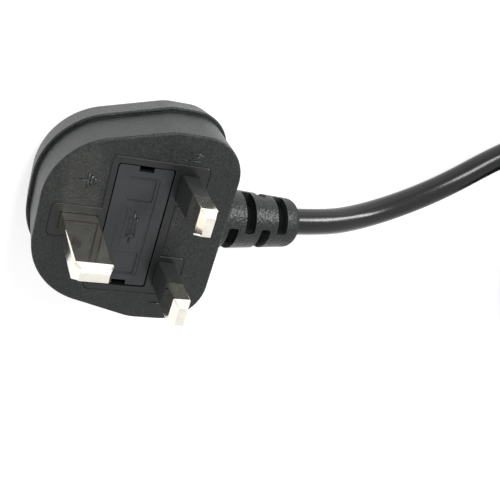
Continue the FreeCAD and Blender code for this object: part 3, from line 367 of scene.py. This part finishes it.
def coil_place(lead, turned):
    """Fold radius and height of the lead after so many turns, as it steps from place to place."""
    inner = lead.fold_radius
    outer = inner + 2 * lead.radius + TURN_GAP
    # Fold radius and layer of each place, in the order that the turns take them
    places = [(outer, 1), (inner, 1), (inner, 2), (outer, 2)]
    places += [(outer, 3), (inner, 3), (inner, 4), (outer, 4)]
    step_starts = [FIRST_STEP + STEP_EVERY * index for index in range(STEP_COUNT)]
    step_starts.append(step_starts[-1] + STEP_LENGTH)
    steps = sum(min(1.0, max(0.0, (turned - start) / STEP_LENGTH)) for start in step_starts)
    index = min(int(steps), len(places) - 2)
    share = steps - index
    (radius, layer), (next_radius, next_layer) = places[index:index + 2]
    layer += (next_layer - layer) * share
    return radius + (next_radius - radius) * share, (2 * layer - 1) * lead.radius


def lead_route(lead):
    """Control points of the lead: seen curve, oval coil of three layers, then the way to the connector."""
    points = [RELIEF_ROOT + RELIEF_LINE * reach * MM for reach in RELIEF_REACHES]
    points += [Vector(place) * MM for place in SEEN_CURVE]
    for turn in range(lead.turns):
        for share, along, outward in turn_stations(lead.coil_run):
            radius, level = coil_place(lead, turn + share)
            points.append(COIL_CENTRE + Vector((along + outward.x * radius, outward.y * radius, level)))
    points[-1].z += LAST_LIFT
    points += [Vector(place) * MM for place in TO_CONNECTOR]
    return points


class PLUG_OT_lead(bpy.types.Operator):
    """Lay the lead from the strain relief through its coil to the connector"""
    bl_idname = "plug.lead"
    bl_label = "Lead"

    def execute(self, context):
        lead = context.scene.plug_lead
        finish = context.scene.plug_finish
        route = lead_route(lead)
        curve = bpy.data.curves.new("lead_sheath", "CURVE")
        curve.dimensions = "3D"
        curve.bevel_depth = lead.radius
        curve.bevel_resolution = 8
        curve.resolution_u = 10
        curve.use_fill_caps = True
        spline = curve.splines.new("NURBS")
        spline.points.add(len(route) - 1)
        for point, place in zip(spline.points, route):
            point.co = (*place, 1.0)
        spline.order_u = 3
        spline.use_endpoint_u = True
        sheath = bpy.data.objects.new("lead_sheath", curve)
        context.scene.collection.objects.link(sheath)
        curve.materials.append(extruded_pvc("extruded_pvc_black", finish.lead_colour))
        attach(sheath, PLUG)
        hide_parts("cord_lead", "cord_coil", "cord_tail")
        return {"FINISHED"}


class PLUG_OT_body(bpy.types.Operator):
    """Finish the moulded body, its insert, the fuse carrier and the pin sleeves"""
    bl_idname = "plug.body"
    bl_label = "Body"

    def execute(self, context):
        finish = context.scene.plug_finish
        edge = finish.insert_edge
        grain = finish.grain
        body = moulded_pvc("moulded_pvc_black", finish.body_colour, grain, edge, finish.relief_grain)
        insert = moulded_nylon("moulded_nylon_black", finish.insert_colour, grain, rough=0.36, edge=edge)
        sleeve = moulded_nylon("sleeve_nylon_black", finish.sleeve_colour, grain, rough=0.5, edge=edge)
        carrier = moulded_nylon("carrier_nylon_black", finish.carrier_colour, grain, rough=0.3, edge=edge)
        dress(body, "moulded_body")
        dress(insert, "pin_bridge", "bridge_cap")
        dress(sleeve, "line_pin_sleeve", "neutral_pin_sleeve")
        dress(carrier, "fuse_carrier")
        return {"FINISHED"}


# Raised marks, read with the earth pin at the top: strokes as pairs of (x, y) in millimetres
MARK_N = (((1.25, -0.85), (-1.25, -0.85)), ((-1.25, -0.85), (1.25, 0.85)), ((1.25, 0.85), (-1.25, 0.85)))
MARK_L = (((-1.25, -0.7), (1.25, -0.7)), ((1.25, -0.7), (1.25, 0.8)))
MARK_EARTH = (((-1.6, 0), (0, 0)), ((0, -1.5), (0, 1.5)), ((0.75, -1.0), (0.75, 1.0)),
              ((1.5, -0.45), (1.5, 0.45)))
MARK_FUSE = (((-0.8, -2.2), (-0.8, 2.2)), ((0.8, -2.2), (0.8, 2.2)), ((-0.8, -2.2), (0.8, -2.2)),
             ((-0.8, 2.2), (0.8, 2.2)), ((0, -3.6), (0, 3.6)))
NEUTRAL_SPOT = Vector((0.3 * MM, 18.7 * MM, FACE_LEVEL))
LINE_SPOT = Vector((0.3 * MM, -18.7 * MM, FACE_LEVEL))
EARTH_SPOT = Vector((-22.0 * MM, 10.0 * MM, FACE_LEVEL))
MARK_HALF = 0.24 * MM  # half width of a stroke
MARK_ROOT = 0.05 * MM  # below the face, so that no gap shows
MARK_EDGE = 0.05 * MM  # round of a stroke's edges
MARK_STEPS = 8  # facets across a stroke


def raised_mark(context, name, strokes, middle, rise):
    """Raised strokes on a flat face, each a bar with a rounded back that catches the light."""
    arch = [math.pi * step / MARK_STEPS for step in range(MARK_STEPS + 1)]
    section = [(-MARK_HALF, -MARK_ROOT)]
    section += [(-MARK_HALF * math.cos(angle), rise * math.sin(angle)) for angle in arch]
    section.append((MARK_HALF, -MARK_ROOT))
    form = bmesh.new()
    for stroke in strokes:
        start, finish = (middle + Vector((x, y, 0.0)) * MM for x, y in stroke)
        along = (finish - start).normalized()
        across = Vector((-along.y, along.x, 0.0))
        ends = []
        for end in (start - along * MARK_HALF, finish + along * MARK_HALF):
            rim = [end + across * aside + Vector((0.0, 0.0, up)) for aside, up in section]
            ends.append([form.verts.new(place) for place in rim])
        first, last = ends
        form.faces.new(first)
        form.faces.new(reversed(last))
        for index in range(len(section)):
            following = (index + 1) % len(section)
            form.faces.new((first[following], first[index], last[index], last[following])).smooth = True
    bmesh.ops.recalc_face_normals(form, faces=form.faces)
    mesh = bpy.data.meshes.new(name)
    form.to_mesh(mesh)
    form.free()
    mark = bpy.data.objects.new(name, mesh)
    context.scene.collection.objects.link(mark)
    return mark


class PLUG_OT_marks(bpy.types.Operator):
    """Raise the neutral, line and earth marks on the face and the fuse mark on the carrier"""
    bl_idname = "plug.marks"
    bl_label = "Marks"

    def execute(self, context):
        finish = context.scene.plug_finish
        polished = moulded_nylon("polished_mark_black", finish.carrier_colour, finish.grain,
                                 rough=0.18, edge=MARK_EDGE)
        carrier_middle = (CARRIER_LOW + CARRIER_HIGH) / 2
        carrier_middle.z = CARRIER_HIGH.z - PANEL_SINK
        for name, strokes, middle, body, slot in (
            ("mark_neutral", MARK_N, NEUTRAL_SPOT, PLUG, "moulded_pvc"),
            ("mark_line", MARK_L, LINE_SPOT, PLUG, "moulded_pvc"),
            ("mark_earth", MARK_EARTH, EARTH_SPOT, PLUG, "moulded_pvc"),
            ("mark_fuse", MARK_FUSE, carrier_middle, HOLDER, "carrier_nylon"),
        ):
            mark = raised_mark(context, name, strokes, middle, finish.mark_rise)
            mark.data.materials.append(polished)
            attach(mark, body)
        return {"FINISHED"}


class PLUG_OT_metal(bpy.types.Operator):
    """Finish the pins, clips, crimps and the other metal pieces"""
    bl_idname = "plug.metal"
    bl_label = "Metal"

    def execute(self, context):
        finish = context.scene.plug_finish
        edge = finish.insert_edge
        nickel = plated_metal("nickel_plated_brass", finish.pin_colour,
                              rough=0.1, line_spacing=0.25 * MM, edge=finish.pin_edge)
        brass = plated_metal("spring_brass", linear("#c9a55a"),
                             rough=0.28, line_spacing=0.3 * MM, edge=edge)
        copper = plated_metal("bare_copper", linear("#b8734a"),
                              rough=0.32, line_spacing=0.3 * MM, edge=edge)
        dress(nickel, "earth_pin", "line_pin", "neutral_pin", "fuse_line_cap", "fuse_supply_cap")
        dress(brass, "line_fuse_clip", "supply_fuse_clip", "supply_crimp", "neutral_crimp", "earth_crimp",
              "connector_line_contact", "connector_neutral_contact", "connector_earth_contact")
        dress(copper, "supply_strand", "neutral_strand", "earth_strand", "fuse_wire")
        return {"FINISHED"}


class PLUG_OT_inside(bpy.types.Operator):
    """Finish the fuse barrel and the insulated cores"""
    bl_idname = "plug.inside"
    bl_label = "Inside"

    def execute(self, context):
        edge = context.scene.plug_finish.insert_edge
        ceramic = moulded_nylon("glazed_ceramic", linear("#e9e4d8"), grain=0.3 * MM, rough=0.25, edge=edge)
        brown = extruded_pvc("extruded_pvc_brown", linear("#5b3420"), rough=0.35)
        blue = extruded_pvc("extruded_pvc_blue", linear("#2f62b5"), rough=0.35)
        striped = extruded_pvc("extruded_pvc_green_yellow", linear("#2f8f3e"), rough=0.35,
                               stripe=linear("#e3cf2a"))
        dress(ceramic, "fuse_barrel")
        dress(brown, "supply_core")
        dress(blue, "neutral_core")
        dress(striped, "earth_core")
        return {"FINISHED"}


class PLUG_OT_connector(bpy.types.Operator):
    """Finish the appliance connector and the tie round the coil"""
    bl_idname = "plug.connector"
    bl_label = "Connector"

    def execute(self, context):
        finish = context.scene.plug_finish
        grain = finish.grain
        edge = finish.insert_edge
        body = moulded_pvc("connector_pvc_black", finish.body_colour, grain, finish.connector_edge)
        insert = moulded_nylon("connector_nylon_black", finish.insert_colour, grain, rough=0.4, edge=edge)
        tie = moulded_nylon("tie_nylon_black", linear("#202122"), grain, rough=0.3, edge=edge)
        dress(body, "connector_body")
        dress(insert, "connector_insert")
        dress(tie, "coil_tie")
        return {"FINISHED"}


# Stage, in metres


WHITE = linear("#ffffff")
FLOOR_HALF = 3.0
FLOOR_SHARE = 0.66  # light that the floor adds for the eye, so that it shows white round the shadow
LAMP_TARGET = Vector((0.020, 0.0, 0.015))
KEY_SIZE = (0.11, 0.24)
KEY_PLACE = (0.459, 0.354, 0.263)
FILL_SIZE = (0.1, 0.22)
FILL_PLACE = (0.015, 0.38, 0.41)
CAMERA_PLACE = (-0.06294, 0.08502, 0.18693)
CAMERA_RIGHT = Vector((0.90727, 0.28737, 0.30706))
CAMERA_UP = Vector((-0.09756, 0.85403, -0.51100))
CAMERA_LENS = 61.25  # millimetres, as the sensor's width is
CAMERA_SENSOR = 36.0
CAMERA_NEAR = 0.01


class PLUG_OT_stage(bpy.types.Operator):
    """Set the floor, the lights, the surround and the camera"""
    bl_idname = "plug.stage"
    bl_label = "Stage"

    def execute(self, context):
        stage = context.scene.plug_stage
        self.lay_floor(context, stage)
        self.hang_lights(context, stage)
        self.surround(context, stage)
        self.place_camera(context)
        context.scene.view_settings.view_transform = "Standard"
        return {"FINISHED"}

    def lay_floor(self, context, stage):
        """Matt painted table: pale and without gloss, white to the eye except where the shadow lies."""
        mesh = bpy.data.meshes.new("floor")
        form = bmesh.new()
        bmesh.ops.create_grid(form, x_segments=1, y_segments=1, size=FLOOR_HALF)
        form.to_mesh(mesh)
        form.free()
        floor = bpy.data.objects.new("floor", mesh)
        context.scene.collection.objects.link(floor)
        material, tree, shader = new_material(
            "matt_white_table", Base_Color=stage.floor_colour, Roughness=0.9, Specular_IOR_Level=0.0,
            Emission_Color=WHITE,
        )
        seen = self.seen_share(tree, FLOOR_SHARE)
        tree.links.new(seen, shader.inputs["Emission Strength"])
        mesh.materials.append(material)

    def seen_share(self, tree, strength):
        """Strength for rays that show a surface to the eye, directly, in a reflection or through glass."""
        path = add_node(tree, "ShaderNodeLightPath").outputs
        seen = path["Is Camera Ray"]
        for kind in ("Is Glossy Ray", "Is Transmission Ray"):
            seen = add_node(tree, "ShaderNodeMath", {0: seen, 1: path[kind]},
                            operation="MAXIMUM").outputs["Value"]
        return add_node(tree, "ShaderNodeMath", {0: seen}, {1: strength},
                        operation="MULTIPLY").outputs["Value"]

    def hang_lights(self, context, stage):
        for name, power, size, place in (
            ("key_softbox", stage.key_power, KEY_SIZE, KEY_PLACE),
            ("fill_softbox", stage.fill_power, FILL_SIZE, FILL_PLACE),
        ):
            lamp = bpy.data.lights.new(name, "AREA")
            lamp.shape = "RECTANGLE"
            lamp.size, lamp.size_y = size
            lamp.energy = power
            holder = bpy.data.objects.new(name, lamp)
            context.scene.collection.objects.link(holder)
            holder.location = place
            aim = LAMP_TARGET - Vector(place)
            holder.rotation_euler = aim.to_track_quat("-Z", "Y").to_euler()

    def surround(self, context, stage):
        world = bpy.data.worlds.new("white_studio")
        world.use_nodes = True
        context.scene.world = world
        tree = world.node_tree
        seen = self.seen_share(tree, 1.0 - stage.sky)
        total = add_node(tree, "ShaderNodeMath", {0: seen}, {1: stage.sky}, operation="ADD")
        sky = tree.nodes["Background"]
        sky.inputs["Color"].default_value = WHITE
        tree.links.new(total.outputs["Value"], sky.inputs["Strength"])

    def place_camera(self, context):
        data = bpy.data.cameras.new("photo_camera")
        data.sensor_width = CAMERA_SENSOR
        data.lens = CAMERA_LENS
        data.clip_start = CAMERA_NEAR
        camera = bpy.data.objects.new("photo_camera", data)
        context.scene.collection.objects.link(camera)
        back = CAMERA_RIGHT.cross(CAMERA_UP)
        place = Matrix((CAMERA_RIGHT, CAMERA_UP, back)).transposed().to_4x4()
        place.translation = CAMERA_PLACE
        camera.matrix_world = place
        context.scene.camera = camera


class PLUG_PT_panel(bpy.types.Panel):
    """Pieces and finishes of the plug"""
    bl_label = "Three-pin plug"
    bl_idname = "PLUG_PT_panel"
    bl_space_type = "VIEW_3D"
    bl_region_type = "UI"
    bl_category = "Plug"

    def draw(self, context):
        layout = self.layout
        for group in GROUPS:
            settings = getattr(context.scene, group)
            for name in settings.__annotations__:
                layout.prop(settings, name)
        for operator in OPERATORS:
            layout.operator(operator.bl_idname)


GROUPS = {
    "plug_lead": PlugLeadSettings,
    "plug_finish": PlugFinishSettings,
    "plug_stage": PlugStageSettings,
}
OPERATORS = (
    PLUG_OT_lead,
    PLUG_OT_body,
    PLUG_OT_marks,
    PLUG_OT_metal,
    PLUG_OT_inside,
    PLUG_OT_connector,
    PLUG_OT_stage,
)
CLASSES = (*GROUPS.values(), *OPERATORS, PLUG_PT_panel)


def register():
    for item in CLASSES:
        bpy.utils.register_class(item)
    for name, group in GROUPS.items():
        setattr(bpy.types.Scene, name, bpy.props.PointerProperty(type=group))


def unregister():
    for name in GROUPS:
        delattr(bpy.types.Scene, name)
    for item in reversed(CLASSES):
        bpy.utils.unregister_class(item)


def main():
    register()
    bpy.ops.plug.lead()
    bpy.ops.plug.body()
    bpy.ops.plug.marks()
    bpy.ops.plug.metal()
    bpy.ops.plug.inside()
    bpy.ops.plug.connector()
    bpy.ops.plug.stage()


if __name__ == "__main__":
    main()
